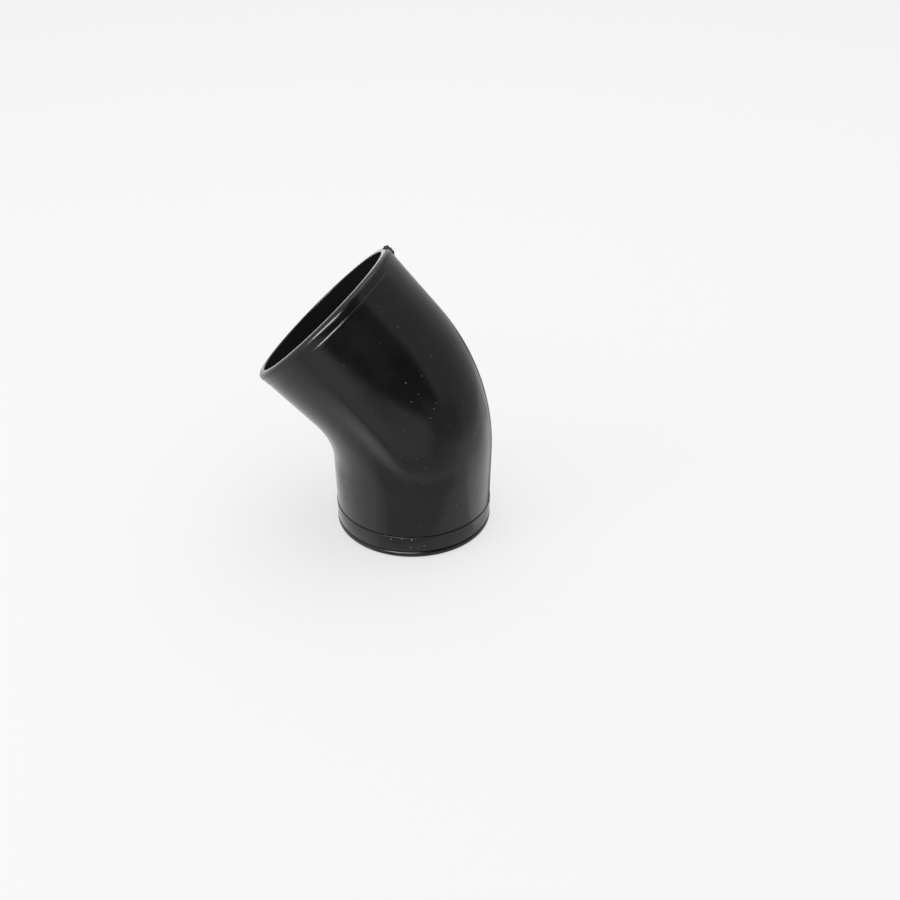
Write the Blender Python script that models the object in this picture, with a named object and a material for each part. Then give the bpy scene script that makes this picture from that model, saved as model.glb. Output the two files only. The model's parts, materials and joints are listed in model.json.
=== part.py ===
"""Reducing elbow coupler: one moulded rubber tube between two pipes of different size.

The tube stands on its small socket, turns through the bend angle toward -X and widens into
the large socket. It is a loft between two rails that lie in the plane of the bend: the inner
rail round the crook and the outer rail round the back. The small socket ends in a flat band
over a short proud lip, the large one in a round bead with a fine raised line behind it. The
mould's halves part in the plane of the bend and leave a fine raised line along both rails.
Lengths are in metres.
"""

import math

import bmesh
import bpy
from mathutils import Vector

# Bores and wall
SMALL_BORE = 0.0889
LARGE_BORE = 0.1016
WALL = 0.0050

# Centre line: a straight leg under the bend, one above it, and the angle between them
LOWER_LEG = 0.0864
UPPER_LEG = 0.0796
BEND_ANGLE = math.radians(45.0)

# Outside of the tube where the two centre lines cross, and its two bend radii in outline
BEND_DIAMETER = 0.1033
INNER_BEND_RADIUS = 0.0317
OUTER_BEND_RADIUS = 0.1367

# Belly: both sides of the upper leg stand proud of the bend inside a soft step that is rounded
# at its lower corner and has a shallow hollow along its foot. It starts below the mouth and
# dies out toward the outer rail.
BELLY_RISE = 0.0024
BELLY_EDGE = 0.0080
BELLY_PAST_BEND = 0.0350
BELLY_CORNER = 0.0160
STEP_WIDTH = 0.0120
HOLLOW_DEPTH = 0.0010
HOLLOW_WIDTH = 0.0160
BELLY_START = 0.0150
BELLY_FULL = 0.0600
FADE_START = 0.0040
FADE_END = 0.0360

# Parting line of the mould along both rails
PARTING_RISE = 0.00015
PARTING_WIDTH = 0.0008

# Trimmed nub of flash on the bead, a little past the outer rail. It covers the bead where its
# round stands higher than this share of the crest.
NUB_PLACE = math.radians(36.0)
NUB_RISE = 0.0008
NUB_WIDTH = 0.0036
NUB_SLOPE = 0.0008
NUB_CREST_SHARE = 0.8

# Round bead at the large end, the flat land inside it and the fine raised line behind it
BEAD_WIDTH = 0.0064
BEAD_RISE = 0.0004
BEAD_LAND = 0.0020
RIM_LINE_WIDTH = 0.0013
RIM_LINE_RISE = 0.0003

# Flat band at the small end between a fine crease and a narrow groove, and the lip under it
LIP_HEIGHT = 0.0021
LIP_RISE = 0.0008
LIP_ROUND = 0.0008
GROOVE_WIDTH = 0.0005
GROOVE_DEPTH = 0.0004
BAND_HEIGHT = 0.0122
BAND_RISE = 0.0004
BAND_ROUND = 0.0004
CREASE_WIDTH = 0.0006
CREASE_DEPTH = 0.0004

# Broken edge round both bores
BORE_EDGE = 0.0006

# Fineness of the mesh
AROUND = 60
LEG_STEPS = 4
BEND_STEPS = 24
BORE_LEG_STEPS = 2
BORE_BEND_STEPS = 16
BEAD_STEPS = 10
CORNER_STEPS = 2

# Values that follow from the sizes above
SMALL_RADIUS = SMALL_BORE / 2 + WALL
LARGE_RADIUS = LARGE_BORE / 2 + WALL
BEND_RADIUS = BEND_DIAMETER / 2
LOWER_TAPER = (BEND_RADIUS - SMALL_RADIUS) / LOWER_LEG
UPPER_TAPER = (LARGE_RADIUS - BEND_RADIUS) / UPPER_LEG
BAND_TOP = LIP_HEIGHT + GROOVE_WIDTH + BAND_HEIGHT
RIM_DEPTH = BEAD_WIDTH + RIM_LINE_WIDTH
BELLY_END = UPPER_LEG + BELLY_PAST_BEND
PARTING_TURN = PARTING_WIDTH / 2 / BEND_RADIUS
NUB_TURN = NUB_WIDTH / 2 / LARGE_RADIUS
NUB_FOOT_TURN = NUB_TURN + NUB_SLOPE / LARGE_RADIUS

# Plane of the bend, as (x, z): way out of the large mouth, way across it to the outer rail, centre
MOUTH_AXIS = Vector((-math.sin(BEND_ANGLE), math.cos(BEND_ANGLE)))
MOUTH_ACROSS = Vector((math.cos(BEND_ANGLE), math.sin(BEND_ANGLE)))
MOUTH_CENTRE = Vector((0.0, LOWER_LEG)) + MOUTH_AXIS * UPPER_LEG

RUBBER_COLOUR = (0.022, 0.022, 0.021, 1.0)
RUBBER_ROUGHNESS = 0.42


def lower_radius(height):
    """Outer radius of the lower leg at a height above its foot."""
    return SMALL_RADIUS + LOWER_TAPER * height


def upper_radius(depth):
    """Outer radius of the upper leg at a depth below its mouth."""
    return LARGE_RADIUS - UPPER_TAPER * depth


def spread(start, end, steps):
    """Evenly spaced values from start to end, both included."""
    return [start + (end - start) * step / steps for step in range(steps + 1)]


def lengthwise_turns():
    """Angles of the mesh's lengthwise lines: even ones, and close ones at the rails and the nub."""
    turns = [2 * math.pi * index / AROUND for index in range(AROUND)]
    turns += [rail_turn + side * PARTING_TURN for rail_turn in (0.0, math.pi) for side in (-1, 1)]
    turns += [NUB_PLACE + side * turn for turn in (NUB_TURN, NUB_FOOT_TURN) for side in (-1, 1)]
    return sorted(turns)


TURNS = lengthwise_turns()


def ease(value, start, end):
    """Soft step from 0 at the start to 1 at the end."""
    share = min(max((value - start) / (end - start), 0.0), 1.0)
    return share * share * (3.0 - 2.0 * share)


def rail(side, inset, leg_steps, bend_steps):
    """Points of one rail as (x, z), from the top of the band to the line behind the bead.

    side is -1 for the inner rail and 1 for the outer one. inset moves the rail into the wall.
    Both legs are straight and tangent to the arc between them.
    """
    foot = Vector((side * (lower_radius(BAND_TOP) - inset), BAND_TOP))
    top = MOUTH_CENTRE - MOUTH_AXIS * RIM_DEPTH
    top += MOUTH_ACROSS * side * (upper_radius(RIM_DEPTH) - inset)
    rising = Vector((side * LOWER_TAPER, 1.0)).normalized()
    falling = (-MOUTH_AXIS - MOUTH_ACROSS * side * UPPER_TAPER).normalized()
    gap = top - foot
    reach = (gap.x * falling.y - gap.y * falling.x) / (rising.x * falling.y - rising.y * falling.x)
    meeting = foot + rising * reach
    sweep = rising.angle(-falling)
    radius = OUTER_BEND_RADIUS - inset if side > 0 else INNER_BEND_RADIUS + inset
    tangent = radius * math.tan(sweep / 2)
    arc_start = meeting - rising * tangent
    arc_end = meeting - falling * tangent
    centre = arc_start + Vector((-rising.y, rising.x)) * radius
    spoke = arc_start - centre
    points = [foot.lerp(arc_start, share) for share in spread(0.0, 1.0, leg_steps)]
    for turn in spread(0.0, sweep, bend_steps)[1:]:
        turned = Vector((
            spoke.x * math.cos(turn) - spoke.y * math.sin(turn),
            spoke.x * math.sin(turn) + spoke.y * math.cos(turn),
        ))
        points.append(centre + turned)
    points += [arc_end.lerp(top, share) for share in spread(0.0, 1.0, leg_steps)[1:]]
    return points


def belly(point):
    """Rise of the belly at a point (x, z) of the tube seen in the plane of the bend."""
    offset = point - MOUTH_CENTRE
    depth = -offset.dot(MOUTH_AXIS)
    across = offset.dot(MOUTH_ACROSS)
    inside_edge = BELLY_CORNER - (across + BELLY_EDGE)
    inside_end = BELLY_CORNER - (BELLY_END - depth)
    if inside_edge > 0.0 and inside_end > 0.0:
        within = BELLY_CORNER - math.hypot(inside_edge, inside_end)
    else:
        within = BELLY_CORNER - max(inside_edge, inside_end)
    step = ease(within, -STEP_WIDTH / 2, STEP_WIDTH / 2)
    foot = -STEP_WIDTH / 2
    lowest = foot - HOLLOW_WIDTH / 2
    hollow = ease(within, foot - HOLLOW_WIDTH, lowest) - ease(within, lowest, foot)
    start = ease(depth, BELLY_START, BELLY_FULL)
    fade = 1.0 - ease(across, FADE_START, FADE_END)
    return (BELLY_RISE * step - HOLLOW_DEPTH * hollow) * start * fade


def body_rings(depth, leg_steps, bend_steps):
    """Rings of the tube from band to bead, on the outer skin or at a depth inside it."""
    inner, outer = (rail(side, 0.0, leg_steps, bend_steps) for side in (-1, 1))
    deep_inner, deep_outer = (rail(side, depth, leg_steps, bend_steps) for side in (-1, 1))
    rings = []
    for start, end, deep_start, deep_end in zip(inner, outer, deep_inner, deep_outer):
        middle = (start + end) / 2
        half = (end - start) / 2
        deep_middle = (deep_start + deep_end) / 2
        deep_half = (deep_end - deep_start) / 2
        ring = []
        for turn in TURNS:
            side = half.length - depth + belly(middle + half * math.cos(turn))
            seen = deep_middle + deep_half * math.cos(turn)
            if depth == 0.0 and turn in (0.0, math.pi):
                seen += half.normalized() * math.cos(turn) * PARTING_RISE
            ring.append(Vector((seen.x, side * math.sin(turn), seen.y)))
        rings.append(ring)
    return rings


def lower_ring(height, rise):
    """Ring round the lower leg, raised above its outer skin."""
    radius = lower_radius(height) + rise
    return [Vector((radius * math.cos(t), radius * math.sin(t), height)) for t in TURNS]


def upper_ring(depth, rise, nub):
    """Ring round the upper leg at a depth below its mouth, raised above its outer skin.

    nub raises the few points at the nub's place further.
    """
    centre = MOUTH_CENTRE - MOUTH_AXIS * depth
    radius = upper_radius(depth) + rise
    nub_edge = (NUB_TURN + NUB_FOOT_TURN) / 2
    ring = []
    for turn in TURNS:
        reach = radius + nub if abs(turn - NUB_PLACE) < nub_edge else radius
        seen = centre + MOUTH_ACROSS * reach * math.cos(turn)
        ring.append(Vector((seen.x, reach * math.sin(turn), seen.y)))
    return ring


def corner(centre_along, centre_rise, radius, start_turn, end_turn):
    """Points (along, rise) on a quarter round of the end profiles."""
    turns = spread(start_turn, end_turn, CORNER_STEPS)
    return [(centre_along + radius * math.sin(t), centre_rise + radius * math.cos(t)) for t in turns]


def large_end_profile():
    """Points (depth, rise, nub) from the bore over land, bead and rim line to the upper leg."""
    quarter = math.pi / 2
    lip = corner(BORE_EDGE, -WALL + BORE_EDGE, BORE_EDGE, -2 * quarter, -quarter)
    profile = [(depth, rise, 0.0) for depth, rise in lip]
    foot = -WALL + BEAD_LAND
    for turn in spread(0.0, math.pi, BEAD_STEPS)[:-1]:
        share = (1 - math.cos(turn)) / 2
        seat = foot - foot * share
        crest = math.sin(turn)
        nub = NUB_RISE if crest > NUB_CREST_SHARE else 0.0
        profile.append((BEAD_WIDTH * share, seat + (BEAD_RISE - seat) * crest, nub))
    for share in spread(0.0, 1.0, CORNER_STEPS)[:-1]:
        line = RIM_LINE_RISE * math.sin(math.pi * share) ** 2
        profile.append((BEAD_WIDTH + RIM_LINE_WIDTH * share, line, 0.0))
    return profile


def small_end_profile():
    """Points (height, rise) from the top of the band down to the lip and in to the bore."""
    quarter = math.pi / 2
    groove_top = LIP_HEIGHT + GROOVE_WIDTH
    band_skin = BAND_RISE - BAND_ROUND
    lip_skin = LIP_RISE - LIP_ROUND
    crease_top = BAND_TOP - CREASE_WIDTH
    profile = [(BAND_TOP - CREASE_WIDTH / 2, -CREASE_DEPTH)]
    profile += corner(crease_top - BAND_ROUND, band_skin, BAND_ROUND, quarter, 0.0)
    profile += corner(groove_top + BAND_ROUND, band_skin, BAND_ROUND, 0.0, -quarter)
    profile += [(groove_top, -GROOVE_DEPTH), (LIP_HEIGHT, -GROOVE_DEPTH)]
    profile += corner(LIP_HEIGHT - LIP_ROUND, lip_skin, LIP_ROUND, quarter, 0.0)
    profile += corner(LIP_ROUND, lip_skin, LIP_ROUND, 0.0, -quarter)
    profile += corner(BORE_EDGE, -WALL + BORE_EDGE, BORE_EDGE, -quarter, -2 * quarter)
    return profile


def rubber():
    """Satin black moulded rubber."""
    material = bpy.data.materials.new("rubber")
    material.use_nodes = True
    surface = material.node_tree.nodes["Principled BSDF"]
    surface.inputs["Base Color"].default_value = RUBBER_COLOUR
    surface.inputs["Roughness"].default_value = RUBBER_ROUGHNESS
    surface.inputs["Metallic"].default_value = 0.0
    material.diffuse_color = RUBBER_COLOUR
    return material


def elbow_coupler():
    """Loft every ring into one closed skin: up the bore, over the bead, down the outside."""
    rings = body_rings(WALL, BORE_LEG_STEPS, BORE_BEND_STEPS)
    rings += [upper_ring(depth, rise, nub) for depth, rise, nub in large_end_profile()]
    rings += list(reversed(body_rings(0.0, LEG_STEPS, BEND_STEPS)))
    rings += [lower_ring(height, rise) for height, rise in small_end_profile()]

    shape = bmesh.new()
    loops = [[shape.verts.new(point) for point in ring] for ring in rings]
    for row, loop in enumerate(loops):
        following = loops[(row + 1) % len(loops)]
        for index in range(len(TURNS)):
            after = (index + 1) % len(TURNS)
            shape.faces.new((loop[index], loop[after], following[after], following[index]))
    bmesh.ops.recalc_face_normals(shape, faces=shape.faces)

    mesh = bpy.data.meshes.new("elbow_coupler")
    shape.to_mesh(mesh)
    shape.free()
    mesh.shade_smooth()
    mesh.set_sharp_from_angle(angle=math.radians(40.0))
    mesh.materials.append(rubber())
    part = bpy.data.objects.new("elbow_coupler", mesh)
    bpy.context.scene.collection.objects.link(part)

    # The origin is under the middle of the whole part, on the plane that the foot stands on
    reach = [vertex.co.x for vertex in mesh.vertices]
    part.location.x = -(min(reach) + max(reach)) / 2
    return part


def main():
    for leftover in list(bpy.data.objects):
        bpy.data.objects.remove(leftover, do_unlink=True)
    elbow_coupler()


if __name__ == "__main__":
    main()
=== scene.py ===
"""Looks of a moulded rubber reducing elbow: skin, mould marks and dust, on a white studio floor.

The elbow stands on its small socket at z = 0 and turns toward -X, and the plane of the bend is
y = 0. Its skin is a loft round two outlines: the cut wall at the crook and the cut wall at the
back. Lengths are in metres.
"""

import json
import logging
import math
from dataclasses import dataclass
from enum import Enum

import bmesh
import bpy
from mathutils import Matrix, Vector, noise


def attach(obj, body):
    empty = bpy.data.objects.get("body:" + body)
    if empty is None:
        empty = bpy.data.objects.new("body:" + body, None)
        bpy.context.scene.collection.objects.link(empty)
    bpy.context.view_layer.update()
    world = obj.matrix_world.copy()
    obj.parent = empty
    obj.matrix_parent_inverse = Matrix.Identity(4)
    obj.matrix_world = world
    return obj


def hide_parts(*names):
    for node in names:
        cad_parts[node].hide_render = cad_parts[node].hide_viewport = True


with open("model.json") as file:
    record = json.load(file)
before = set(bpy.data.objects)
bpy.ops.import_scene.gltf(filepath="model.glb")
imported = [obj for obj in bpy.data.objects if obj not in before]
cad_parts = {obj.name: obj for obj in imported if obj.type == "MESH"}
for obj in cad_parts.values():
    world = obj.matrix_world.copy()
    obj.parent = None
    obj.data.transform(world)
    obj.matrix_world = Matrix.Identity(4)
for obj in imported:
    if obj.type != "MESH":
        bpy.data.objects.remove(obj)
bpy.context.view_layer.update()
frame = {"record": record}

BODY = "root"
NODE = "elbow_coupler"
FOOT_MOUNT = "small_end_face"
BELLY_SIZES = (
    "belly_rise", "belly_edge", "belly_past_bend", "belly_corner", "step_width", "hollow_depth",
    "hollow_width", "belly_start", "belly_full", "fade_start", "fade_end",
)
BELLY_WAYS = ("knee", "belly_axis", "belly_across", "mouth_centre", "mouth_axis", "mouth_across")

Socket = bpy.types.NodeSocket
Node = bpy.types.Node
Tree = bpy.types.NodeTree
Mesh = bpy.types.Mesh
Piece = bpy.types.Object
Finish = bpy.types.Material
Values = dict[str, object]
Point = tuple[float, float]
Corner = tuple[float, float, float]
Colour = tuple[float, float, float, float]

log = logging.getLogger("elbow")


class Side(Enum):
    """The two rails of the bend."""

    CROOK = -1
    BACK = 1


class Wiring:
    """Adds nodes to a tree and joins their sockets."""

    def __init__(self, tree: Tree) -> None:
        """Hold a tree.

        Args:
            tree: The tree that nodes are added to.
        """
        self.tree = tree

    def feed(self, socket: Socket, value: object) -> None:
        """Give a socket its value.

        Args:
            socket: The input to set.
            value: Another node's output to join to it, or a plain value.
        """
        if isinstance(value, Socket):
            self.tree.links.new(value, socket)
        else:
            socket.default_value = value

    def feed_all(self, node: Node, **values: object) -> None:
        """Give a node's inputs their values.

        Args:
            node: The node.
            values: A value for each input, by its name with _ for a space.
        """
        for name, value in values.items():
            self.feed(node.inputs[name.replace("_", " ")], value)

    def add(self, kind: str, options: Values | None = None, **values: object) -> Node:
        """Add one node.

        Args:
            kind: The node's type.
            options: Values for the node's own options, by name.
            values: A value for each input, by its name with _ for a space.

        Returns:
            The new node.
        """
        node = self.tree.nodes.new(kind)
        for name, value in (options or {}).items():
            setattr(node, name, value)
        self.feed_all(node, **values)
        return node

    def through(
        self, kind: str, first: Socket, options: Values | None = None, **values: object
    ) -> Socket:
        """Pass geometry through one more node.

        Args:
            kind: The node's type.
            first: What goes into its first input.
            options: Values for the node's own options, by name.
            values: A value for each other input, by its name with _ for a space.

        Returns:
            The node's first output.
        """
        node = self.add(kind, options, **values)
        self.feed(node.inputs[0], first)
        return node.outputs[0]

    def math(self, operation: str, *values: object) -> Socket:
        """Work out a number.

        Args:
            operation: The math node's operation.
            values: Its operands.

        Returns:
            The result's socket.
        """
        node = self.add("ShaderNodeMath", {"operation": operation})
        for socket, value in zip(node.inputs, values):
            self.feed(socket, value)
        return node.outputs[0]

    def vector(self, operation: str, first: object, second: object = None) -> Socket:
        """Work out a vector, or the number that comes from vectors.

        Args:
            operation: The vector math node's operation.
            first: The first vector.
            second: The second vector, or the scale.

        Returns:
            The result's socket.
        """
        node = self.add("ShaderNodeVectorMath", {"operation": operation})
        self.feed(node.inputs[0], first)
        if operation == "SCALE":
            self.feed(node.inputs["Scale"], second)
        elif second is not None:
            self.feed(node.inputs[1], second)
        plain = operation in ("DOT_PRODUCT", "LENGTH", "DISTANCE")
        return node.outputs["Value" if plain else "Vector"]

    def ease(self, value: object, start: object, end: object) -> Socket:
        """Step softly from 0 at the start to 1 at the end.

        Args:
            value: The number that moves.
            start: Where the step begins.
            end: Where the step is complete.

        Returns:
            The share's socket.
        """
        soft = {"interpolation_type": "SMOOTHSTEP"}
        node = self.add("ShaderNodeMapRange", soft, Value=value, From_Min=start, From_Max=end)
        return node.outputs["Result"]

    def ramp(self, value: object, least: float, most: float, given: Point = (0.0, 1.0)) -> Socket:
        """Turn a share into a value between two others.

        Args:
            value: The share.
            least: The result where the share is lowest.
            most: The result where the share is highest.
            given: The lowest and the highest share.

        Returns:
            The result's socket.
        """
        node = self.add("ShaderNodeMapRange", Value=value, To_Min=least, To_Max=most)
        self.feed_all(node, From_Min=given[0], From_Max=given[1])
        return node.outputs["Result"]

    def blend(self, share: Socket, first: object, second: object) -> Socket:
        """Mix two colours.

        Args:
            share: How much of the second colour shows.
            first: The first colour.
            second: The second colour.

        Returns:
            The colour's socket.
        """
        node = self.add("ShaderNodeMix", {"data_type": "RGBA"}, Factor=share)
        colours = [socket for socket in node.inputs if socket.type == "RGBA"]
        for socket, colour in zip(colours, (first, second)):
            self.feed(socket, colour)
        return next(socket for socket in node.outputs if socket.type == "RGBA")

    def noise(self, vector: object, grain: object, detail: float, rough: float) -> Socket:
        """Read cloudy noise in space.

        Args:
            vector: Where the noise is read.
            grain: The size of its clouds.
            detail: How many finer layers it has.
            rough: How strong the finer layers are.

        Returns:
            The noise's socket, about 0.5 on average.
        """
        node = self.add("ShaderNodeTexNoise", {"normalize": True}, Detail=detail, Roughness=rough)
        self.feed_all(node, Vector=vector, Scale=self.math("DIVIDE", 1.0, grain))
        return node.outputs[0]

    def attribute(self, name: str) -> Socket:
        """Read a number that the geometry carries.

        Args:
            name: The attribute's name.

        Returns:
            The number's socket.
        """
        node = self.add("GeometryNodeInputNamedAttribute", {"data_type": "FLOAT"}, Name=name)
        return node.outputs["Attribute"]

    def effect(self, tree: Tree, **values: object) -> Socket:
        """Place a shared effect.

        Args:
            tree: The effect's group.
            values: A value for each input, by its name with _ for a space.

        Returns:
            Its output.
        """
        return self.add("ShaderNodeGroup", {"node_tree": tree}, **values).outputs[0]

    def inputs(self, **sockets: str) -> dict[str, Socket]:
        """Give the tree named inputs.

        Args:
            sockets: The kind of each input, by its name with _ for a space.

        Returns:
            The inputs' sockets inside the tree, by name.
        """
        for name, kind in sockets.items():
            title, plug = name.replace("_", " "), f"NodeSocket{kind}"
            self.tree.interface.new_socket(title, in_out="INPUT", socket_type=plug)
        return {socket.name: socket for socket in self.add("NodeGroupInput").outputs if socket.name}

    def output(self, name: str, kind: str, value: Socket) -> None:
        """Give the tree its named output.

        Args:
            name: The output's name.
            kind: Its kind of socket.
            value: What it puts out.
        """
        self.tree.interface.new_socket(name, in_out="OUTPUT", socket_type=f"NodeSocket{kind}")
        self.feed(self.add("NodeGroupOutput").inputs[name], value)


def outline_mesh(name: str, loops: list[list[Vector]], closed: bool) -> Mesh:
    """Make bare lines in the plane of the bend.

    Args:
        name: The mesh's name.
        loops: The points of each line, as (x, z).
        closed: True if each line runs back to its start.

    Returns:
        A mesh of vertices and edges.
    """
    points: list[Corner] = []
    edges: list[tuple[int, int]] = []
    for loop in loops:
        first = len(points)
        points += [(point.x, 0.0, point.y) for point in loop]
        edges += [(index, index + 1) for index in range(first, len(points) - 1)]
        if closed:
            edges.append((len(points) - 1, first))
    mesh = bpy.data.meshes.new(name)
    mesh.from_pydata(points, edges, [])
    return mesh


def grow(piece: Piece, tree: Tree, values: Values) -> None:
    """Run a Geometry Nodes tree on a piece, and leave the result as its plain mesh.

    Args:
        piece: The piece, whose mesh is the tree's geometry.
        tree: The tree.
        values: The tree's inputs, by name.
    """
    modifier = piece.modifiers.new(tree.name, "NODES")
    modifier.node_group = tree
    for item in tree.interface.items_tree:
        if item.in_out == "INPUT" and item.name in values:
            modifier[item.identifier] = values[item.name]
    seen = piece.evaluated_get(bpy.context.evaluated_depsgraph_get())
    made = bpy.data.meshes.new_from_object(seen)
    piece.modifiers.remove(modifier)
    if made.materials and made.materials[0] is None:
        made.materials.pop(index=0)
    start = piece.data
    piece.data = made
    made.name = piece.name
    bpy.data.meshes.remove(start)


def stand(name: str, data: bpy.types.ID) -> Piece:
    """Put an object into the scene, at the origin.

    Args:
        name: The object's name.
        data: Its mesh, lamp or camera.

    Returns:
        The object.
    """
    piece = bpy.data.objects.new(name, data)
    bpy.context.scene.collection.objects.link(piece)
    return piece


def settle(name: str, shape: bmesh.types.BMesh, finish: Finish) -> Piece:
    """Put a hand-made shape into the scene as a smooth piece.

    Args:
        name: The piece's name.
        shape: The shape, which is freed.
        finish: What it is made of.

    Returns:
        The piece.
    """
    bmesh.ops.recalc_face_normals(shape, faces=shape.faces)
    mesh = bpy.data.meshes.new(name)
    shape.to_mesh(mesh)
    shape.free()
    mesh.shade_smooth()
    mesh.materials.append(finish)
    return stand(name, mesh)


def start_finish(name: str) -> tuple[Finish, Wiring]:
    """Start a material.

    Args:
        name: The material's name.

    Returns:
        The material, and the wiring of its tree.
    """
    material = bpy.data.materials.new(name)
    material.use_nodes = True
    return material, Wiring(material.node_tree)


def report(piece: Piece) -> None:
    """Log a finished piece.

    Args:
        piece: The piece.
    """
    log.info("%s: %d faces", piece.name, len(piece.data.polygons))


def spread(start: float, end: float, steps: int) -> list[float]:
    """Space values evenly.

    Args:
        start: The first value.
        end: The last value.
        steps: How many steps lie between them.

    Returns:
        The values, both ends included.
    """
    return [start + (end - start) * step / steps for step in range(steps + 1)]


class Effects:
    """The shader effects that the finishes share, each built once."""

    @staticmethod
    def group(name: str, vectors: list[str], sizes: list[str]) -> tuple[Wiring, dict[str, Socket]]:
        """Start a shader node group.

        Args:
            name: The group's name.
            vectors: The names of its vector inputs.
            sizes: The names of its number inputs.

        Returns:
            The wiring of its tree, and its inputs by name.
        """
        wiring = Wiring(bpy.data.node_groups.new(name, "ShaderNodeTree"))
        kinds = dict.fromkeys(vectors, "Vector") | dict.fromkeys(sizes, "Float")
        return wiring, wiring.inputs(**kinds)

    @staticmethod
    def mottle() -> Tree:
        """Build soft clouds.

        Returns:
            A group with inputs Vector, Size and Contrast, and the output Mask.
        """
        wiring, given = Effects.group("mottle", ["Vector"], ["Size", "Contrast"])
        clouds = wiring.noise(given["Vector"], given["Size"], detail=5.0, rough=0.6)
        low = wiring.math("SUBTRACT", 0.5, given["Contrast"])
        high = wiring.math("ADD", 0.5, given["Contrast"])
        wiring.output("Mask", "Float", wiring.ease(clouds, low, high))
        return wiring.tree

    @staticmethod
    def moulded_skin() -> Tree:
        """Build the relief of a moulded skin: slow waves with a fine grain on them.

        Returns:
            A group with inputs Vector, Wave Size, Wave Depth, Grain Size and Grain Depth, and
            the output Height, in metres.
        """
        sizes = ["Wave Size", "Wave Depth", "Grain Size", "Grain Depth"]
        wiring, given = Effects.group("moulded_skin", ["Vector"], sizes)
        waves = wiring.noise(given["Vector"], given["Wave Size"], detail=1.0, rough=0.4)
        grain = wiring.noise(given["Vector"], given["Grain Size"], detail=3.0, rough=0.5)
        height = wiring.math("MULTIPLY", waves, given["Wave Depth"])
        grain_height = wiring.math("MULTIPLY", grain, given["Grain Depth"])
        wiring.output("Height", "Float", wiring.math("ADD", height, grain_height))
        return wiring.tree

    @staticmethod
    def scuff() -> Tree:
        """Build a patch of broken scuff marks that thins out from its middle.

        Returns:
            A group with inputs Vector, Centre, Reach, Grain Size, Cover and Softness, and the
            output Mask.
        """
        sizes = ["Reach", "Grain Size", "Cover", "Softness"]
        wiring, given = Effects.group("scuff", ["Vector", "Centre"], sizes)
        away = wiring.vector("DISTANCE", given["Vector"], given["Centre"])
        near = wiring.math("SUBTRACT", 1.0, wiring.ease(away, 0.0, given["Reach"]))
        marks = wiring.noise(given["Vector"], given["Grain Size"], detail=6.0, rough=0.7)
        bare = wiring.math("SUBTRACT", 1.0, wiring.math("MULTIPLY", near, given["Cover"]))
        full = wiring.math("ADD", bare, given["Softness"])
        wiring.output("Mask", "Float", wiring.ease(marks, bare, full))
        return wiring.tree


@dataclass(frozen=True)
class ScuffPatch:
    """One scuffed place on the skin."""

    centre: Corner
    reach: float
    grain: float
    cover: float
    softness: float = 0.12


@dataclass(frozen=True)
class SatinRubber:
    """Black rubber as it leaves the mould: satin, faintly cloudy, scuffed in places."""

    name: str
    black: Colour
    clouded: Colour
    roughness_low: float
    roughness_high: float
    grain_depth: float
    wave_depth: float = 0.00022
    sheen_level: float = 0.36
    cloud_size: float = 0.022
    cloud_contrast: float = 0.22
    wave_size: float = 0.035
    grain_size: float = 0.0011
    scuffed: Colour = (0.070, 0.069, 0.064, 1.0)
    scuff_depth: float = 0.00014
    scuff_dulling: float = 0.25
    scuffs: tuple[ScuffPatch, ...] = ()

    def material(self, effects: dict[str, Tree]) -> Finish:
        """Build the finish.

        Args:
            effects: The shared shader groups, by name.

        Returns:
            The material.
        """
        material, wiring = start_finish(self.name)
        place = wiring.add("ShaderNodeTexCoord").outputs["Object"]
        clouds = wiring.effect(
            effects["mottle"], Vector=place, Size=self.cloud_size, Contrast=self.cloud_contrast
        )
        colour = wiring.blend(clouds, self.black, self.clouded)
        roughness = wiring.ramp(clouds, self.roughness_low, self.roughness_high)
        height = wiring.effect(
            effects["moulded_skin"],
            Vector=place,
            Wave_Size=self.wave_size,
            Wave_Depth=self.wave_depth,
            Grain_Size=self.grain_size,
            Grain_Depth=self.grain_depth,
        )
        for patch in self.scuffs:
            marks = wiring.effect(
                effects["scuff"],
                Vector=place,
                Centre=patch.centre,
                Reach=patch.reach,
                Grain_Size=patch.grain,
                Cover=patch.cover,
                Softness=patch.softness,
            )
            colour = wiring.blend(marks, colour, self.scuffed)
            dulled = wiring.math("MULTIPLY", marks, self.scuff_dulling)
            roughness = wiring.math("ADD", roughness, dulled)
            gouged = wiring.math("MULTIPLY", marks, self.scuff_depth)
            height = wiring.math("SUBTRACT", height, gouged)

        relief = wiring.add("ShaderNodeBump", Strength=1.0, Distance=1.0, Height=height)
        wiring.feed_all(
            material.node_tree.nodes["Principled BSDF"],
            Base_Color=colour,
            Metallic=0.0,
            Roughness=roughness,
            Specular_IOR_Level=self.sheen_level,
            Normal=relief.outputs[0],
        )
        return material


@dataclass(frozen=True)
class PaleDust:
    """Dry pale dust."""

    name: str
    pale: Colour = (0.42, 0.42, 0.40, 1.0)
    dark: Colour = (0.10, 0.10, 0.095, 1.0)
    roughness: float = 0.85
    cloud_size: float = 0.012
    cloud_contrast: float = 0.12

    def material(self, effects: dict[str, Tree]) -> Finish:
        """Build the finish.

        Args:
            effects: The shared shader groups, by name.

        Returns:
            The material.
        """
        material, wiring = start_finish(self.name)
        place = wiring.add("ShaderNodeTexCoord").outputs["Object"]
        clouds = wiring.effect(
            effects["mottle"], Vector=place, Size=self.cloud_size, Contrast=self.cloud_contrast
        )
        colour = wiring.blend(clouds, self.dark, self.pale)
        surface = material.node_tree.nodes["Principled BSDF"]
        wiring.feed_all(surface, Base_Color=colour, Roughness=self.roughness)
        return material


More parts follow.
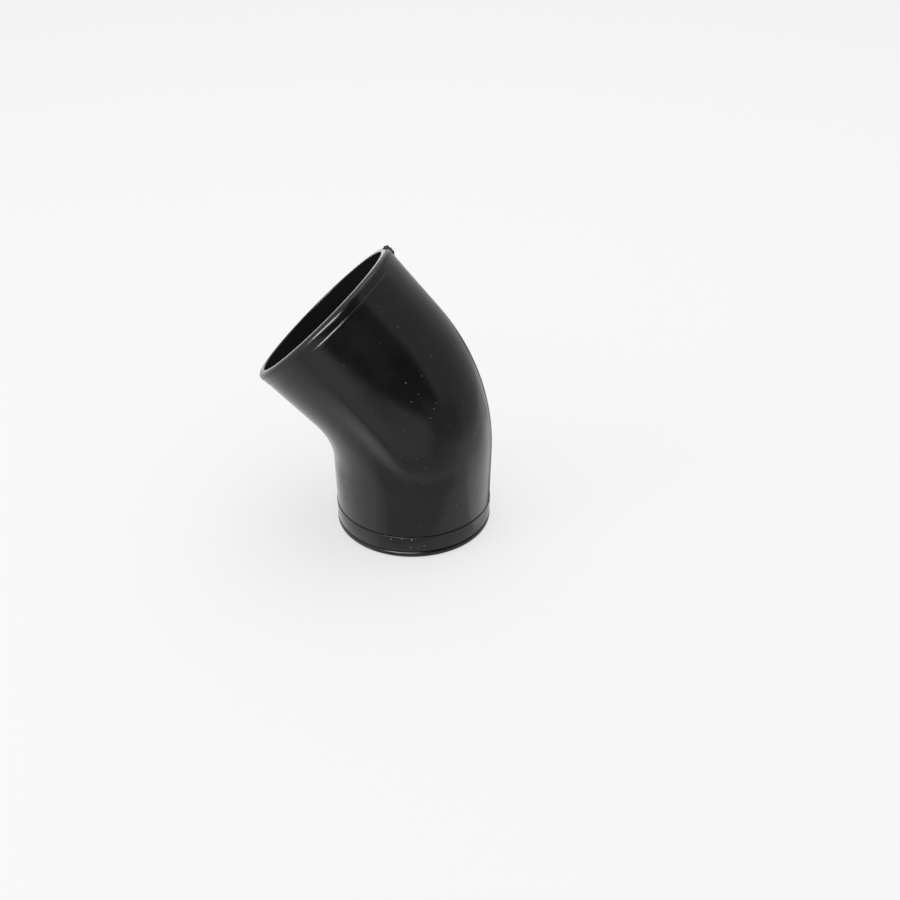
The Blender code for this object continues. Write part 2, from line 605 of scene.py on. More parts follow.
@dataclass
class ReducingElbow:
    """The moulded tube, lofted round the cut wall at the crook and the cut wall at the back."""

    axis_x: float
    small_bore: float = 0.0889
    large_bore: float = 0.1016
    wall: float = 0.0050
    lower_leg: float = 0.0864
    upper_leg: float = 0.0796
    bend_angle: float = math.radians(45.0)
    bend_diameter: float = 0.1033
    inner_bend_radius: float = 0.0317
    outer_bend_radius: float = 0.1367
    belly_angle: float = math.radians(41.5)
    belly_rise: float = 0.0025
    belly_edge: float = 0.0085
    belly_past_bend: float = 0.0365
    belly_corner: float = 0.0200
    step_width: float = 0.0155
    hollow_depth: float = 0.0009
    hollow_width: float = 0.0120
    belly_start: float = 0.0150
    belly_full: float = 0.0800
    fade_start: float = -0.0040
    fade_end: float = 0.0180
    bead_width: float = 0.0071
    bead_rise: float = 0.0004
    bead_land: float = 0.0020
    rim_line_width: float = 0.0014
    rim_line_rise: float = 0.00022
    lip_height: float = 0.0042
    lip_rise: float = 0.0007
    lip_round: float = 0.0018
    groove_width: float = 0.0004
    groove_depth: float = 0.0014
    band_height: float = 0.0116
    band_rise: float = 0.0004
    band_round: float = 0.0004
    crease_width: float = 0.0006
    crease_depth: float = 0.0004
    bore_edge: float = 0.0006
    sharp_angle: float = math.radians(40.0)
    merge_distance: float = 1e-6
    lining_from: float = 0.4
    around: int = 240
    leg_steps: int = 30
    bend_steps: int = 96
    bore_leg_steps: int = 12
    bore_bend_steps: int = 40
    bead_steps: int = 28
    corner_steps: int = 6

    def __post_init__(self) -> None:
        """Work out the sizes that follow from the others."""
        self.small_radius = self.small_bore / 2 + self.wall
        self.large_radius = self.large_bore / 2 + self.wall
        bend_radius = self.bend_diameter / 2
        self.lower_taper = (bend_radius - self.small_radius) / self.lower_leg
        self.upper_taper = (self.large_radius - bend_radius) / self.upper_leg
        self.band_top = self.lip_height + self.groove_width + self.band_height
        self.rim_depth = self.bead_width + self.rim_line_width
        self.mouth_axis = Vector((-math.sin(self.bend_angle), math.cos(self.bend_angle)))
        self.mouth_across = Vector((math.cos(self.bend_angle), math.sin(self.bend_angle)))
        self.belly_axis = Vector((-math.sin(self.belly_angle), math.cos(self.belly_angle)))
        self.belly_across = Vector((math.cos(self.belly_angle), math.sin(self.belly_angle)))
        self.knee = Vector((self.axis_x, self.lower_leg))
        self.mouth_centre = self.knee + self.mouth_axis * self.upper_leg

    def lower_point(self, side: Side, height: float, rise: float) -> Vector:
        """Find a point of the lower leg's outline.

        Args:
            side: The rail.
            height: Height above the foot.
            rise: How far it stands out from the leg's skin.

        Returns:
            The point, as (x, z).
        """
        radius = self.small_radius + self.lower_taper * height + rise
        return Vector((self.axis_x + side.value * radius, height))

    def upper_point(self, side: Side, depth: float, rise: float) -> Vector:
        """Find a point of the upper leg's outline.

        Args:
            side: The rail.
            depth: Depth below the mouth.
            rise: How far it stands out from the leg's skin.

        Returns:
            The point, as (x, z).
        """
        radius = self.large_radius - self.upper_taper * depth + rise
        return self.mouth_centre - self.mouth_axis * depth + self.mouth_across * side.value * radius

    def rail(self, side: Side, inset: float, leg_steps: int, bend_steps: int) -> list[Vector]:
        """Trace one rail from the top of the band to the back of the bead.

        Args:
            side: The rail.
            inset: How far it lies inside the wall.
            leg_steps: Steps along each straight leg.
            bend_steps: Steps round the arc between them.

        Returns:
            Its points, as (x, z).
        """
        foot = self.lower_point(side, self.band_top, -inset)
        top = self.upper_point(side, self.rim_depth, -inset)
        rising = Vector((side.value * self.lower_taper, 1.0)).normalized()
        leaning = self.mouth_across * side.value * self.upper_taper
        falling = (-self.mouth_axis - leaning).normalized()
        gap = top - foot
        reach = gap.cross(falling) / rising.cross(falling)
        meeting = foot + rising * reach
        sweep = rising.angle(-falling)
        radius = self.outer_bend_radius - inset
        if side is Side.CROOK:
            radius = self.inner_bend_radius + inset
        tangent = radius * math.tan(sweep / 2)
        arc_start = meeting - rising * tangent
        arc_end = meeting - falling * tangent
        centre = arc_start + Vector((-rising.y, rising.x)) * radius
        spoke = arc_start - centre
        points = [foot.lerp(arc_start, share) for share in spread(0.0, 1.0, leg_steps)]
        for turn in spread(0.0, sweep, bend_steps)[1:]:
            points.append(centre + Matrix.Rotation(turn, 2) @ spoke)
        points += [arc_end.lerp(top, share) for share in spread(0.0, 1.0, leg_steps)[1:]]
        return points

    def corner(
        self, along: float, rise: float, radius: float, start: float, end: float
    ) -> list[Point]:
        """Trace a quarter round of an end profile.

        Args:
            along: The round's centre along the leg.
            rise: The round's centre above the leg's skin.
            radius: The round's radius.
            start: First turn, from straight out.
            end: Last turn.

        Returns:
            Its points, as (along, rise).
        """
        turns = spread(start, end, self.corner_steps)
        return [(along + radius * math.sin(turn), rise + radius * math.cos(turn)) for turn in turns]

    def large_end(self) -> list[Point]:
        """Trace the land, the bead and the fine line behind it, from the bore to the upper leg.

        Returns:
            The points, as (depth, rise).
        """
        edge = self.bore_edge
        profile = self.corner(edge, -self.wall + edge, edge, -math.pi, -math.pi / 2)
        foot = -self.wall + self.bead_land
        for turn in spread(0.0, math.pi, self.bead_steps)[:-1]:
            share = (1 - math.cos(turn)) / 2
            seat = foot - foot * share
            rise = seat + (self.bead_rise - seat) * math.sin(turn)
            profile.append((self.bead_width * share, rise))
        for share in spread(0.0, 1.0, self.corner_steps)[:-1]:
            ridge = self.rim_line_rise * math.sin(math.pi * share) ** 2
            profile.append((self.bead_width + self.rim_line_width * share, ridge))
        return profile

    def small_end(self) -> list[Point]:
        """Trace the crease, the band, the groove and the lip, from the leg to the bore.

        Returns:
            The points, as (height, rise).
        """
        quarter = math.pi / 2
        groove_top = self.lip_height + self.groove_width
        crease_foot = self.band_top - self.crease_width
        band, lip, edge = self.band_round, self.lip_round, self.bore_edge
        band_skin, lip_skin = self.band_rise - band, self.lip_rise - lip
        profile = [(self.band_top - self.crease_width / 2, -self.crease_depth)]
        profile += self.corner(crease_foot - band, band_skin, band, quarter, 0.0)
        profile += self.corner(groove_top + band, band_skin, band, 0.0, -quarter)
        profile += [(groove_top, -self.groove_depth), (self.lip_height, -self.groove_depth)]
        profile += self.corner(self.lip_height - lip, lip_skin, lip, quarter, 0.0)
        profile += self.corner(lip, lip_skin, lip, 0.0, -quarter)
        profile += self.corner(edge, -self.wall + edge, edge, -quarter, -2 * quarter)
        return profile

    def section(self) -> Mesh:
        """Trace the cut wall on both sides of the plane of the bend.

        Returns:
            Two closed outlines with as many points each. Each point knows its ring's half width,
            how deep it lies in the wall, and whether the belly swells it.
        """
        bore_steps = (self.bore_leg_steps, self.bore_bend_steps)
        skin_steps = (self.leg_steps, self.bend_steps)
        outlines: list[list[Vector]] = []
        for side in Side:
            line = self.rail(side, self.wall, *bore_steps)
            line += [self.upper_point(side, *point) for point in self.large_end()]
            line += reversed(self.rail(side, 0.0, *skin_steps))
            line += [self.lower_point(side, *point) for point in self.small_end()]
            outlines.append(line)
        mesh = outline_mesh("section", outlines, closed=True)

        bore_skin = [self.rail(side, 0.0, *bore_steps) for side in Side]
        widths = [(back - crook).length / 2 for crook, back in zip(*outlines)]
        for ring, (crook, back) in enumerate(zip(*bore_skin)):
            widths[ring] = (back - crook).length / 2 - self.wall
        bore_rings = len(bore_skin[0])
        end_rings = bore_rings + len(self.large_end())
        insets = [self.wall] * bore_rings + [0.0] * (len(widths) - bore_rings)
        swells = [1.0] * len(widths)
        swells[bore_rings:end_rings] = [0.0] * (end_rings - bore_rings)
        swells[-len(self.small_end()):] = [0.0] * len(self.small_end())
        for name, values in (("half_width", widths), ("inset", insets), ("swell", swells)):
            mesh.attributes.new(name, "FLOAT", "POINT").data.foreach_set("value", values * 2)
        return mesh

    def belly(self, wiring: Wiring, given: dict[str, Socket], point: Socket) -> Socket:
        """Work out how far the belly stands proud.

        Args:
            wiring: The loft's tree.
            given: The tree's inputs.
            point: Where on the skin, seen in the plane of the bend.

        Returns:
            The rise's socket.
        """
        from_knee = wiring.vector("SUBTRACT", point, given["Knee"])
        from_mouth = wiring.vector("SUBTRACT", point, given["Mouth Centre"])
        beside = wiring.vector("DOT_PRODUCT", from_knee, given["Belly Across"])
        above = wiring.vector("DOT_PRODUCT", from_knee, given["Belly Axis"])
        height = wiring.vector("DOT_PRODUCT", from_mouth, given["Mouth Axis"])
        depth = wiring.math("MULTIPLY", height, -1.0)
        across = wiring.vector("DOT_PRODUCT", from_mouth, given["Mouth Across"])
        corner = given["Belly Corner"]
        beyond: list[Socket] = []
        squares: list[Socket] = []
        for reach, limit in ((beside, "Belly Edge"), (above, "Belly Past Bend")):
            past = wiring.math("SUBTRACT", corner, wiring.math("ADD", reach, given[limit]))
            beyond.append(past)
            squares.append(wiring.math("POWER", wiring.math("MAXIMUM", past, 0.0), 2.0))
        rounded = wiring.math("SQRT", wiring.math("ADD", *squares))
        straight = wiring.math("MINIMUM", wiring.math("MAXIMUM", *beyond), 0.0)
        within = wiring.math("SUBTRACT", corner, wiring.math("ADD", rounded, straight))

        foot = wiring.math("MULTIPLY", given["Step Width"], -0.5)
        head = wiring.math("MULTIPLY", given["Step Width"], 0.5)
        brink = wiring.math("SUBTRACT", foot, given["Hollow Width"])
        step = wiring.ease(within, foot, head)
        hollow = wiring.math("SUBTRACT", wiring.ease(within, brink, foot), step)
        proud = wiring.math("MULTIPLY", step, given["Belly Rise"])
        sunk = wiring.math("MULTIPLY", hollow, given["Hollow Depth"])
        rise = wiring.math("SUBTRACT", proud, sunk)
        begun = wiring.ease(depth, given["Belly Start"], given["Belly Full"])
        faded = wiring.ease(across, given["Fade End"], given["Fade Start"])
        return wiring.math("MULTIPLY", rise, wiring.math("MULTIPLY", begun, faded))

    def loft_tree(self) -> Tree:
        """Build the Geometry Nodes tree that lofts the closed skin round the section.

        Returns:
            The tree. Its geometry is the section, and its inputs are the sizes by name.
        """
        wiring = Wiring(bpy.data.node_groups.new("reducing_loft", "GeometryNodeTree"))
        given = wiring.inputs(
            Geometry="Geometry",
            Rings="Int",
            Around="Int",
            **dict.fromkeys(self.titled(BELLY_SIZES), "Float"),
            **dict.fromkeys(self.titled(BELLY_WAYS), "Vector"),
            Skin_Finish="Material",
            Bore_Finish="Material",
        )

        columns = wiring.math("ADD", given["Around"], 1.0)
        rows = wiring.math("ADD", given["Rings"], 1.0)
        grid = wiring.add("GeometryNodeMeshGrid", Vertices_X=rows, Vertices_Y=columns)
        index = wiring.add("GeometryNodeInputIndex").outputs[0]
        middle_of_index = wiring.math("ADD", index, 0.5)
        row = wiring.math("FLOOR", wiring.math("DIVIDE", middle_of_index, columns))
        column = wiring.math("SUBTRACT", index, wiring.math("MULTIPLY", row, columns))
        ring = wiring.math("MODULO", row, given["Rings"])
        share = wiring.math("DIVIDE", column, given["Around"])
        turn = wiring.math("MULTIPLY", share, 2 * math.pi)

        def read(value: Socket, kind: str, at: Socket) -> Socket:
            """Read a value at one point of the section.

            Args:
                value: The value.
                kind: Its kind.
                at: The point's number.

            Returns:
                The value's socket.
            """
            options = {"data_type": kind, "domain": "POINT"}
            node = wiring.add("GeometryNodeSampleIndex", options, Value=value, Index=at)
            wiring.feed_all(node, Geometry=given["Geometry"])
            return node.outputs["Value"]

        half_width, inset, swell = (
            read(wiring.attribute(name), "FLOAT", ring) for name in ("half_width", "inset", "swell")
        )
        position = wiring.add("GeometryNodeInputPosition").outputs[0]
        crook = read(position, "FLOAT_VECTOR", ring)
        back = read(position, "FLOAT_VECTOR", wiring.math("ADD", ring, given["Rings"]))
        middle = wiring.vector("SCALE", wiring.vector("ADD", crook, back), 0.5)
        half = wiring.vector("SUBTRACT", back, middle)
        cosine = wiring.math("COSINE", turn)
        length = wiring.vector("LENGTH", half)
        outward = wiring.math("DIVIDE", wiring.math("ADD", length, inset), length)
        skin_share = wiring.math("MULTIPLY", cosine, outward)
        skin_point = wiring.vector("ADD", middle, wiring.vector("SCALE", half, skin_share))
        seen = wiring.vector("ADD", middle, wiring.vector("SCALE", half, cosine))
        swelling = wiring.math("MULTIPLY", self.belly(wiring, given, skin_point), swell)
        width = wiring.math("ADD", half_width, swelling)
        beside = wiring.add(
            "ShaderNodeCombineXYZ", Y=wiring.math("MULTIPLY", width, wiring.math("SINE", turn))
        )
        place = wiring.vector("ADD", seen, beside.outputs[0])
        mesh = wiring.through("GeometryNodeSetPosition", grid.outputs["Mesh"], Position=place)

        shallow = wiring.math("LESS_THAN", inset, self.wall / 2)
        deep = wiring.math("GREATER_THAN", inset, self.wall / 2)
        stored = {"data_type": "FLOAT", "domain": "POINT"}
        carried = (("outer_skin", wiring.math("MULTIPLY", swell, shallow)), ("bore", deep))
        for name, value in carried:
            mesh = wiring.through(
                "GeometryNodeStoreNamedAttribute", mesh, stored, Name=name, Value=value
            )
        mesh = wiring.through("GeometryNodeMergeByDistance", mesh, Distance=self.merge_distance)
        mesh = wiring.through("GeometryNodeFlipFaces", mesh)
        mesh = wiring.through("GeometryNodeSetShadeSmooth", mesh)
        mesh = wiring.through("GeometryNodeSetMaterial", mesh, Material=given["Skin Finish"])
        bore = wiring.math("GREATER_THAN", wiring.attribute("bore"), self.lining_from)
        mesh = wiring.through(
            "GeometryNodeSetMaterial", mesh, Selection=bore, Material=given["Bore Finish"]
        )
        wiring.output("Geometry", "Geometry", mesh)
        return wiring.tree

    def titled(self, names: tuple[str, ...]) -> Values:
        """Look up some of the sizes.

        Args:
            names: The sizes' names.

        Returns:
            The sizes, by their names as the loft's inputs have them.
        """
        return {name.replace("_", " ").title(): getattr(self, name) for name in names}

    def build(self, finish: Finish, lining: Finish) -> Piece:
        """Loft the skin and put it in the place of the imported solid.

        Args:
            finish: The rubber outside.
            lining: The rubber of the bore.

        Returns:
            The skin.
        """
        skin = stand("elbow_skin", self.section())
        ways = self.titled(BELLY_WAYS)
        values = self.titled(BELLY_SIZES)
        values |= {name: (way.x, 0.0, way.y) for name, way in ways.items()}
        values |= {"Rings": len(skin.data.vertices) // 2, "Around": self.around}
        values |= {"Skin Finish": finish, "Bore Finish": lining}
        grow(skin, self.loft_tree(), values)
        skin.data.set_sharp_from_angle(angle=self.sharp_angle)
        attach(skin, BODY)
        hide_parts(NODE)
        report(skin)
        return skin


@dataclass
class PartingFlash:
    """The fine raised line that the mould's halves leave along both rails."""

    elbow: ReducingElbow
    radius: float = 0.00022
    rise: float = 0.00008
    wander_size: float = 0.009
    usual_noise: Point = (0.3, 0.7)
    thinnest: float = 0.75
    thickest: float = 1.2
    sides: int = 8

    def tree(self) -> Tree:
        """Build the tree that sweeps an uneven thread along each line.

        Returns:
            The tree. Its geometry is the lines.
        """
        wiring = Wiring(bpy.data.node_groups.new("flash_sweep", "GeometryNodeTree"))
        sizes = dict.fromkeys(("Radius", "Wander_Size"), "Float")
        given = wiring.inputs(Geometry="Geometry", **sizes, Sides="Int", Material="Material")
        lines = wiring.through("GeometryNodeMeshToCurve", given["Geometry"])
        position = wiring.add("GeometryNodeInputPosition").outputs[0]
        wander = wiring.noise(position, given["Wander Size"], detail=2.0, rough=0.5)
        swell = wiring.ramp(wander, self.thinnest, self.thickest, self.usual_noise)
        thread = wiring.add(
            "GeometryNodeCurvePrimitiveCircle",
            {"mode": "RADIUS"},
            Resolution=given["Sides"],
            Radius=given["Radius"],
        ).outputs[0]
        mesh = wiring.through(
            "GeometryNodeCurveToMesh", lines, Profile_Curve=thread, Scale=swell, Fill_Caps=True
        )
        mesh = wiring.through("GeometryNodeSetShadeSmooth", mesh)
        mesh = wiring.through("GeometryNodeRealizeInstances", mesh)
        mesh = wiring.through("GeometryNodeSetMaterial", mesh, Material=given["Material"])
        wiring.output("Geometry", "Geometry", mesh)
        return wiring.tree

    def build(self, finish: Finish) -> Piece:
        """Sweep the flash along both rails.

        Args:
            finish: The torn rubber.

        Returns:
            The flash.
        """
        steps = (self.elbow.leg_steps, self.elbow.bend_steps)
        sunk = self.radius - self.rise
        lines = [self.elbow.rail(side, sunk, *steps) for side in Side]
        flash = stand("parting_flash", outline_mesh("lines", lines, closed=False))
        values = {"Radius": self.radius, "Wander Size": self.wander_size, "Sides": self.sides}
        grow(flash, self.tree(), values | {"Material": finish})
        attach(flash, BODY)
        report(flash)
        return flash


@dataclass
class MouldNub:
    """The trimmed stub of flash that is left on the bead, a little past the back rail."""

    elbow: ReducingElbow
    turn: float = math.radians(28.0)
    along: float = 0.0040
    across: float = 0.0026
    rise: float = 0.0013
    stretch: float = 1.7
    depth: float = 0.0032
    unevenness: float = 0.00042
    wrinkle: float = 0.0013
    roundness: int = 4

    def build(self, finish: Finish) -> Piece:
        """Make the stub as a low uneven lump on the bead.

        Args:
            finish: The torn rubber.

        Returns:
            The stub.
        """
        elbow = self.elbow
        out = elbow.mouth_across * math.cos(self.turn)
        radial = Vector((out.x, math.sin(self.turn), out.y))
        along = Vector((elbow.mouth_axis.x, 0.0, elbow.mouth_axis.y))
        across = along.cross(radial)
        crest = elbow.upper_point(Side.BACK, self.depth, elbow.bead_rise - self.rise)
        middle = elbow.mouth_centre - elbow.mouth_axis * self.depth
        seat = Vector((middle.x, 0.0, middle.y)) + radial * (crest - middle).length
        rough = self.unevenness / self.rise
        shape = bmesh.new()
        bmesh.ops.create_icosphere(shape, subdivisions=self.roundness, radius=1.0)
        for corner in shape.verts:
            way = corner.co.copy()
            lump = 1.0 + rough * noise.noise(way * (self.along / self.wrinkle))
            reach = along * way.x * self.along + across * way.y * self.across
            corner.co = seat + (reach + radial * way.z * self.rise * self.stretch) * lump
        nub = settle("mould_nub", shape, finish)
        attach(nub, BODY)
        report(nub)
        return nub


@dataclass
class DustSpecks:
    """Small pale specks that lie scattered on the outer skin."""

    per_square_metre: float = 2600.0
    radius: float = 0.00024
    flatness: float = 0.35
    least: Corner = (0.45, 0.45, 0.6)
    most: Corner = (1.7, 1.2, 1.2)
    bare_from: float = 0.99
    seed: int = 11

    def tree(self) -> Tree:
        """Build the tree that scatters specks on the outer skin.

        Returns:
            The tree. Its geometry is the skin, and it puts out the specks alone.
        """
        wiring = Wiring(bpy.data.node_groups.new("speck_scatter", "GeometryNodeTree"))
        sizes = dict.fromkeys(("Density", "Radius", "Flatness"), "Float")
        given = wiring.inputs(Geometry="Geometry", **sizes, Seed="Int", Material="Material")
        scatter = wiring.add(
            "GeometryNodeDistributePointsOnFaces",
            {"distribute_method": "RANDOM"},
            Mesh=given["Geometry"],
            Selection=wiring.math("GREATER_THAN", wiring.attribute("outer_skin"), self.bare_from),
            Density=given["Density"],
            Seed=given["Seed"],
        )
        speck = wiring.add("GeometryNodeMeshIcoSphere", Radius=given["Radius"], Subdivisions=1)
        uneven = wiring.add(
            "FunctionNodeRandomValue",
            {"data_type": "FLOAT_VECTOR"},
            Min=self.least,
            Max=self.most,
            Seed=given["Seed"],
        )
        flat = wiring.add("ShaderNodeCombineXYZ", X=1.0, Y=1.0, Z=given["Flatness"])
        specks = wiring.through(
            "GeometryNodeInstanceOnPoints",
            scatter.outputs["Points"],
            Instance=speck.outputs["Mesh"],
            Rotation=scatter.outputs["Rotation"],
            Scale=wiring.vector("MULTIPLY", uneven.outputs[0], flat.outputs[0]),
        )
        specks = wiring.through("GeometryNodeRealizeInstances", specks)
        specks = wiring.through("GeometryNodeSetMaterial", specks, Material=given["Material"])
        wiring.output("Geometry", "Geometry", specks)
        return wiring.tree

    def build(self, skin: Piece, finish: Finish) -> Piece:
        """Scatter the specks.

        Args:
            skin: The elbow's skin.
            finish: The dust.

        Returns:
            The specks, as one piece.
        """
        specks = stand("dust_specks", skin.data.copy())
        specks.data.materials.clear()
        values = {
            "Density": self.per_square_metre,
            "Radius": self.radius,
            "Flatness": self.flatness,
            "Seed": self.seed,
            "Material": finish,
        }
        grow(specks, self.tree(), values)
        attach(specks, BODY)
        report(specks)
        return specks


@dataclass
class BandCrumbs:
    """Crumbs of dust pressed on the front of the band, each with its own turn and height."""

    elbow: ReducingElbow
    places: tuple[Point, ...] = (
        (92.0, 0.0136),
        (84.0, 0.0146),
        (77.0, 0.0142),
        (77.5, 0.0082),
        (72.0, 0.0078),
        (68.0, 0.0090),
    )
    radius: float = 0.00042
    flatness: float = 0.40
    unevenness: float = 0.45
    wrinkle: float = 1.4
    variety: float = 900.0

    def build(self, finish: Finish) -> Piece:
        """Press the crumbs on the band.

        Args:
            finish: The dust.

        Returns:
            The crumbs, as one piece.
        """
        elbow = self.elbow
        shape = bmesh.new()
        for angle, height in self.places:
            turn = math.radians(angle)
            out = Vector((math.cos(turn), -math.sin(turn), 0.0))
            beside = Vector((math.sin(turn), math.cos(turn), 0.0))
            skin = elbow.small_radius + elbow.lower_taper * height + elbow.band_rise
            seat = Vector((elbow.axis_x, 0.0, height)) + out * skin
            crumb = bmesh.ops.create_icosphere(shape, subdivisions=2, radius=1.0)["verts"]
            for corner in crumb:
                way = corner.co.copy()
                bump = noise.noise(way * self.wrinkle + seat * self.variety)
                lump = self.radius * (1.0 + self.unevenness * bump)
                flat = out * way.z * self.flatness
                corner.co = seat + (beside * way.x + flat + Vector((0.0, 0.0, way.y))) * lump
        crumbs = settle("band_crumbs", shape, finish)
        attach(crumbs, BODY)
        report(crumbs)
        return crumbs


@dataclass(frozen=True)
class Lamp:
    """One soft rectangular lamp."""

    name: str
    place: Corner
    aim: Corner
    width: float
    height: float
    watts: float
    mirrored: bool

    def build(self) -> Piece:
        """Hang the lamp and turn it to its aim.

        Returns:
            The lamp.
        """
        light = bpy.data.lights.new(self.name, "AREA")
        light.shape = "RECTANGLE"
        light.size = self.width
        light.size_y = self.height
        light.energy = self.watts
        lamp = stand(self.name, light)
        lamp.visible_glossy = self.mirrored
        lamp.location = self.place
        way = Vector(self.aim) - Vector(self.place)
        lamp.rotation_euler = way.to_track_quat("-Z", "Y").to_euler()
        return lamp


@dataclass(frozen=True)
class Card:
    """One flat card that only shiny surfaces see: black, grey, or brighter than the room."""

    name: str
    corners: tuple[Corner, Corner, Corner, Corner]
    glow: float

    @classmethod
    def standing(cls, name: str, left: Point, right: Point, heights: Point, glow: float) -> "Card":
        """Stand an upright card.

        Args:
            name: The card's name.
            left: One end, as (x, y).
            right: The other end, as (x, y).
            heights: Its lower and its upper edge.
            glow: How bright it looks, where 1 is white.

        Returns:
            The card.
        """
        low, high = heights
        return cls(name, ((*left, low), (*right, low), (*right, high), (*left, high)), glow)

    @classmethod
    def lying(cls, name: str, edge: tuple[Point, Point, Point, Point], glow: float) -> "Card":
        """Lay a card just over the floor.

        Args:
            name: The card's name.
            edge: Its corners in turn, as (x, y).
            glow: How bright it looks, where 1 is white.

        Returns:
            The card.
        """
        return cls(name, tuple((*corner, 0.001) for corner in edge), glow)


@dataclass
class Studio:
    """A white floor without an end, soft lamps, and cards that shape the reflections."""

    floor_reach: float = 8.0
    floor_drop: float = 0.0002
    floor_white: float = 0.9
    floor_roughness: float = 0.9
    floor_glow_share: float = 0.6
    world_light: float = 0.75
    cards: tuple[Card, ...] = (
        Card.standing("front_flag", (-0.03, -0.56), (0.46, -0.14), (0.06, 0.75), 0.02),
        Card.standing("right_kerb", (0.25, -0.20), (0.34, -0.01), (0.0, 0.12), 0.36),
        Card.standing("right_wall", (0.37, -0.09), (0.30, 0.32), (0.0, 0.50), 0.50),
        Card.standing("back_wall", (0.30, 0.32), (0.0, 0.46), (0.0, 0.50), 0.58),
        Card.lying(
            "front_floor", ((-0.10, -0.26), (0.25, -0.26), (0.25, -0.06), (0.012, -0.06)), 0.62
        ),
        Card.lying(
            "left_floor", ((-0.40, -0.28), (-0.19, -0.28), (0.008, -0.052), (-0.10, 0.14)), 1.08
        ),
        Card.lying(
            "right_floor", ((0.076, -0.015), (0.19, -0.015), (0.19, 0.15), (0.115, 0.15)), 1.30
        ),
        Card.lying("floor_flag", ((0.0, 0.05), (0.078, 0.02), (0.10, 0.42), (0.0, 0.42)), 0.05),
        Card(
            "back_left_card",
            ((-0.55, 0.45, 0.002), (-0.25, 0.75, 0.002), (-0.30, 0.85, 0.12), (-0.60, 0.55, 0.12)),
            2.4,
        ),
        Card(
            "front_window",
            (
                (-0.15, -0.445, 0.205),
                (0.175, -0.365, 0.36),
                (0.115, -0.33, 0.445),
                (-0.18, -0.405, 0.31),
            ),
            24.0,
        ),
    )
    lamps: tuple[Lamp, ...] = (
        Lamp("low_left_lamp", (-0.95, -0.77, 0.22), (0.0, 0.0, 0.10), 0.40, 0.30, 4.0, False),
        Lamp("top_lamp", (0.0, 0.3, 1.6), (0.0, 0.0, 0.08), 1.2, 1.2, 5.0, True),
    )

    def white_when_seen(self, wiring: Wiring) -> Socket:
        """Tell the rays that see the background from those that light the object.

        Args:
            wiring: The tree that asks.

        Returns:
            A socket that is 1 for camera, glossy and transmission rays.
        """
        seen = wiring.add("ShaderNodeLightPath").outputs
        mirrored = wiring.math("MAXIMUM", seen["Is Glossy Ray"], seen["Is Transmission Ray"])
        return wiring.math("MAXIMUM", seen["Is Camera Ray"], mirrored)

    def plane(self, name: str, corners: tuple[Corner, ...]) -> Piece:
        """Make a flat sheet of the stage.

        Args:
            name: The sheet's name.
            corners: Its four corners in turn.

        Returns:
            The sheet.
        """
        mesh = bpy.data.meshes.new(name)
        mesh.from_pydata(corners, [], [tuple(range(len(corners)))])
        sheet = stand(name, mesh)
        return sheet

    def floor(self) -> None:
        """Lay the floor: white to the eye, and it keeps the object's shadow."""
        reach, low = self.floor_reach, -self.floor_drop
        turns = ((-reach, -reach), (reach, -reach), (reach, reach), (-reach, reach))
        sheet = self.plane("floor", tuple((*corner, low) for corner in turns))
        material, wiring = start_finish("white_floor")
        nodes = material.node_tree.nodes
        surface = nodes["Principled BSDF"]
        white = self.floor_white
        wiring.feed_all(surface, Base_Color=(white, white, white, 1.0))
        wiring.feed_all(surface, Roughness=self.floor_roughness, Specular_IOR_Level=0.0)
        glow = wiring.add("ShaderNodeEmission")
        share = wiring.math("MULTIPLY", self.white_when_seen(wiring), self.floor_glow_share)
        both = wiring.add("ShaderNodeMixShader")
        for socket, value in zip(both.inputs, (share, surface.outputs[0], glow.outputs[0])):
            wiring.feed(socket, value)
        wiring.feed(nodes["Material Output"].inputs["Surface"], both.outputs[0])
        sheet.data.materials.append(material)

    def hang(self, card: Card) -> None:
        """Hang a card where only reflections show it.

        Args:
            card: The card.
        """
        sheet = self.plane(card.name, card.corners)
        material, wiring = start_finish(card.name)
        glow = wiring.add("ShaderNodeEmission", Strength=card.glow)
        end = material.node_tree.nodes["Material Output"]
        wiring.feed(end.inputs["Surface"], glow.outputs[0])
        sheet.data.materials.append(material)
        for rays in ("camera", "diffuse", "transmission", "shadow"):
            setattr(sheet, f"visible_{rays}", False)

    def world(self) -> None:
        """Fill the air with even light that looks white."""
        world = bpy.data.worlds.new("white_room")
        world.use_nodes = True
        bpy.context.scene.world = world
        wiring = Wiring(world.node_tree)
        strength = wiring.ramp(self.white_when_seen(wiring), self.world_light, 1.0)
        background = world.node_tree.nodes["Background"]
        wiring.feed_all(background, Color=(1.0, 1.0, 1.0, 1.0), Strength=strength)

    def build(self) -> None:
        """Set up the floor, the world, the lamps and the cards."""
        self.floor()
        self.world()
        for lamp in self.lamps:
            lamp.build()
        for card in self.cards:
            self.hang(card)
        log.info("studio: %d lamps, %d cards", len(self.lamps), len(self.cards))


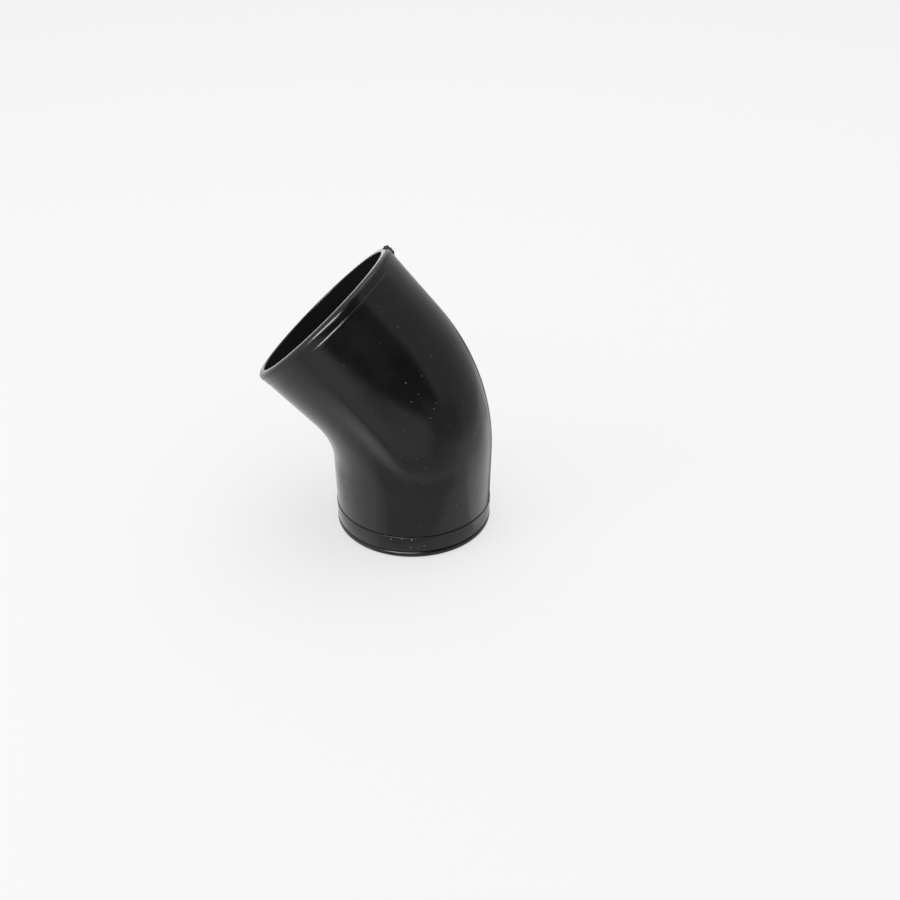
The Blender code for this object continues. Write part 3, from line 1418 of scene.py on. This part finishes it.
@dataclass
class PhotoCamera:
    """The camera where the photograph was taken from."""

    axis_x: float
    aim: Corner = (-0.027, 0.0, 0.075)
    distance: float = 0.844036
    azimuth: float = math.radians(17.132)
    elevation: float = math.radians(30.833)
    look_azimuth: float = math.radians(13.158)
    look_elevation: float = math.radians(32.607)
    sensor: float = 36.0
    lens: float = 52.831

    @staticmethod
    def toward(azimuth: float, elevation: float) -> Vector:
        """Point from the object toward an azimuth and an elevation.

        Args:
            azimuth: The turn about the vertical.
            elevation: The angle above the floor.

        Returns:
            The direction, of length 1.
        """
        level = math.cos(elevation)
        return Vector((math.sin(azimuth) * level, -math.cos(azimuth) * level, math.sin(elevation)))

    def build(self) -> Piece:
        """Set the camera up and make it the scene's own.

        Returns:
            The camera.
        """
        place = Vector(self.aim) + self.toward(self.azimuth, self.elevation) * self.distance
        place.x += self.axis_x
        back = self.toward(self.look_azimuth, self.look_elevation)
        right = Vector((math.cos(self.look_azimuth), math.sin(self.look_azimuth), 0.0))
        turned = Matrix((right, back.cross(right), back)).transposed().to_4x4()
        lens = bpy.data.cameras.new("photo_camera")
        lens.sensor_width = self.sensor
        lens.lens = self.lens
        camera = stand("photo_camera", lens)
        camera.matrix_world = Matrix.Translation(place) @ turned
        bpy.context.scene.camera = camera
        log.info("camera: lens %.2f mm", self.lens)
        return camera


def foot_axis() -> float:
    """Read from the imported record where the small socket's axis stands.

    Returns:
        The axis's x.
    """
    mounts = {mount["name"]: mount for mount in frame["record"]["mounts"]}
    return mounts[FOOT_MOUNT]["pos_m"][0]


def main() -> None:
    """Build the camera, the studio, and each piece in turn."""
    logging.basicConfig(level=logging.INFO, format="%(name)s: %(message)s")
    bpy.context.scene.view_settings.view_transform = "Standard"
    axis_x = foot_axis()
    PhotoCamera(axis_x).build()
    Studio().build()

    effects = {
        "mottle": Effects.mottle(),
        "moulded_skin": Effects.moulded_skin(),
        "scuff": Effects.scuff(),
    }
    satin = SatinRubber(
        name="satin_rubber",
        black=(0.0055, 0.0055, 0.0053, 1.0),
        clouded=(0.0080, 0.0079, 0.0075, 1.0),
        roughness_low=0.19,
        roughness_high=0.25,
        grain_depth=0.000018,
        scuffs=(
            ScuffPatch((axis_x - 0.036, -0.036, 0.044), 0.026, 0.0018, 0.56),
            ScuffPatch((axis_x - 0.034, -0.038, 0.030), 0.018, 0.0012, 0.55),
        ),
    ).material(effects)
    torn = SatinRubber(
        name="torn_rubber",
        black=(0.012, 0.012, 0.011, 1.0),
        clouded=(0.030, 0.030, 0.028, 1.0),
        roughness_low=0.42,
        roughness_high=0.60,
        grain_depth=0.00003,
        wave_depth=0.00004,
        cloud_size=0.002,
        wave_size=0.002,
        grain_size=0.0005,
    ).material(effects)
    lining = SatinRubber(
        name="bore_rubber",
        black=(0.0110, 0.0110, 0.0106, 1.0),
        clouded=(0.0130, 0.0129, 0.0124, 1.0),
        roughness_low=0.55,
        roughness_high=0.65,
        grain_depth=0.00003,
        sheen_level=0.0,
    ).material(effects)
    dust = PaleDust("pale_dust").material(effects)

    elbow = ReducingElbow(axis_x)
    skin = elbow.build(satin, lining)
    PartingFlash(elbow).build(torn)
    MouldNub(elbow).build(torn)
    DustSpecks().build(skin, dust)
    BandCrumbs(elbow).build(dust)


if __name__ == "__main__":
    main()
